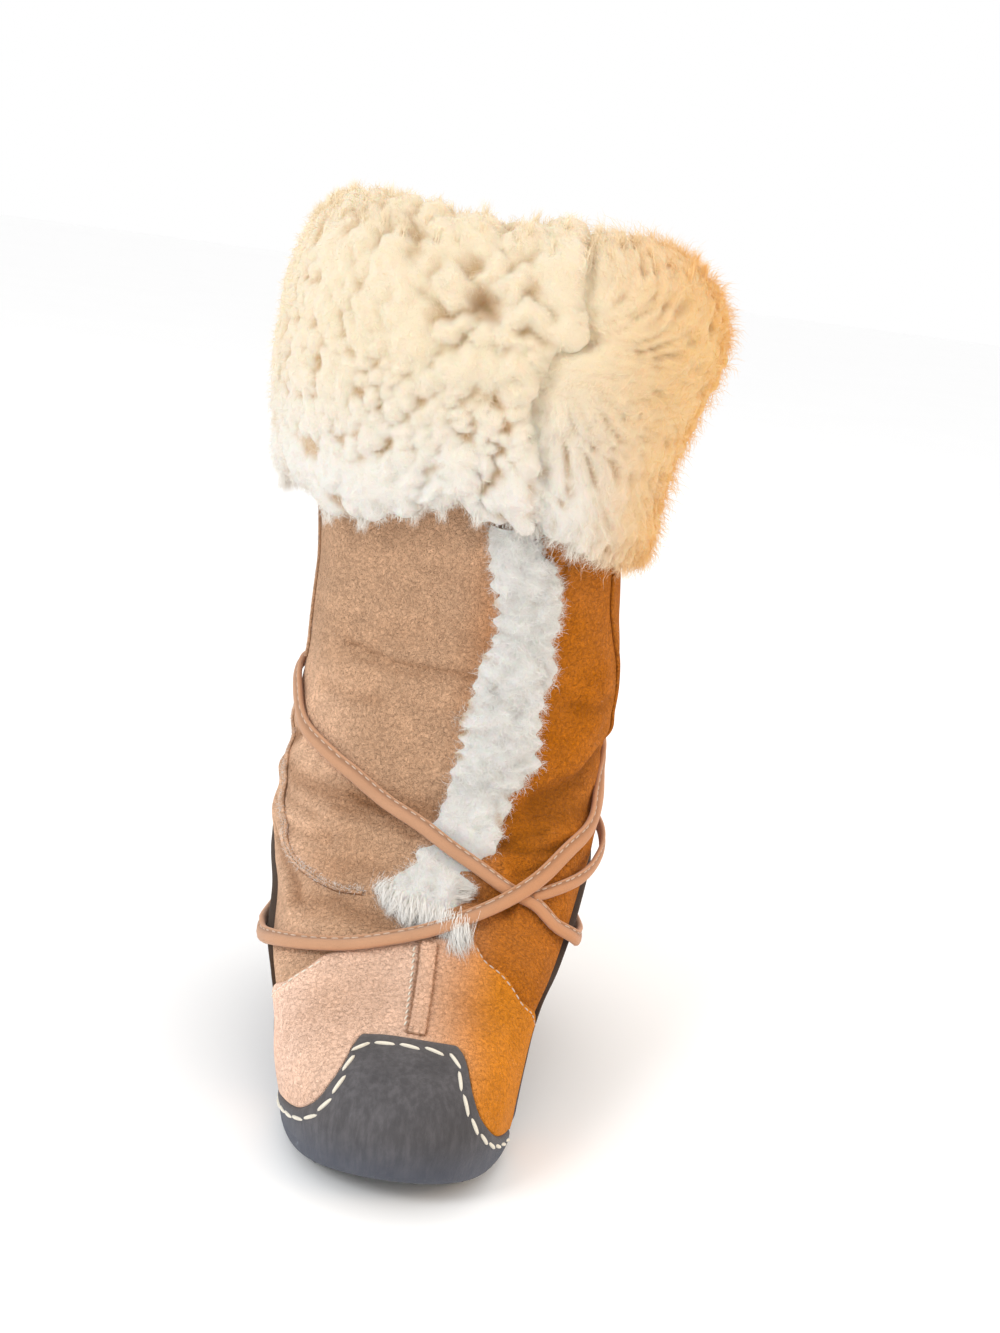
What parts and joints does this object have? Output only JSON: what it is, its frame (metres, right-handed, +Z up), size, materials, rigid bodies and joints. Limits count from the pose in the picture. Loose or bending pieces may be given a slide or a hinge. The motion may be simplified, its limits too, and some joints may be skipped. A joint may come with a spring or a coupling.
{
  "type": "mukluk boot",
  "caption": "Left sheepskin mukluk boot with a folded fleece cuff, a fleece front edge, a wound leather lace and a dark nubuck toe",
  "frame": {"origin": "on the floor under the foot, at the middle of the sole's length and width, on a tread bar", "axes": "+Z up, -Y towards the toe, +X towards the outer side of the left foot"},
  "size_m": [0.2074, 0.2963, 0.3727],
  "materials": {
    "rubber": "matt dark moulded rubber",
    "lining": "short clipped fleece",
    "suede": "worn tan sheepskin suede",
    "vamp_suede": "lighter, pinker tan suede",
    "nubuck": "dark grey-brown nubuck, scuffed at the toe",
    "fleece": "cream sheepskin fleece in curled locks",
    "lace_leather": "stitched flat leather lace"
  },
  "bodies": {
    "root": {"outsole": "rubber", "insole": "lining", "upper": "suede", "toe_cap": "nubuck", "heel_counter": "nubuck", "vamp": "vamp_suede", "vamp_seam": "vamp_suede", "seam_lateral": "suede", "seam_medial": "suede", "seam_instep": "suede", "front_fleece": "fleece", "cuff": "fleece", "lace": "lace_leather"}
  },
  "joints": []
}
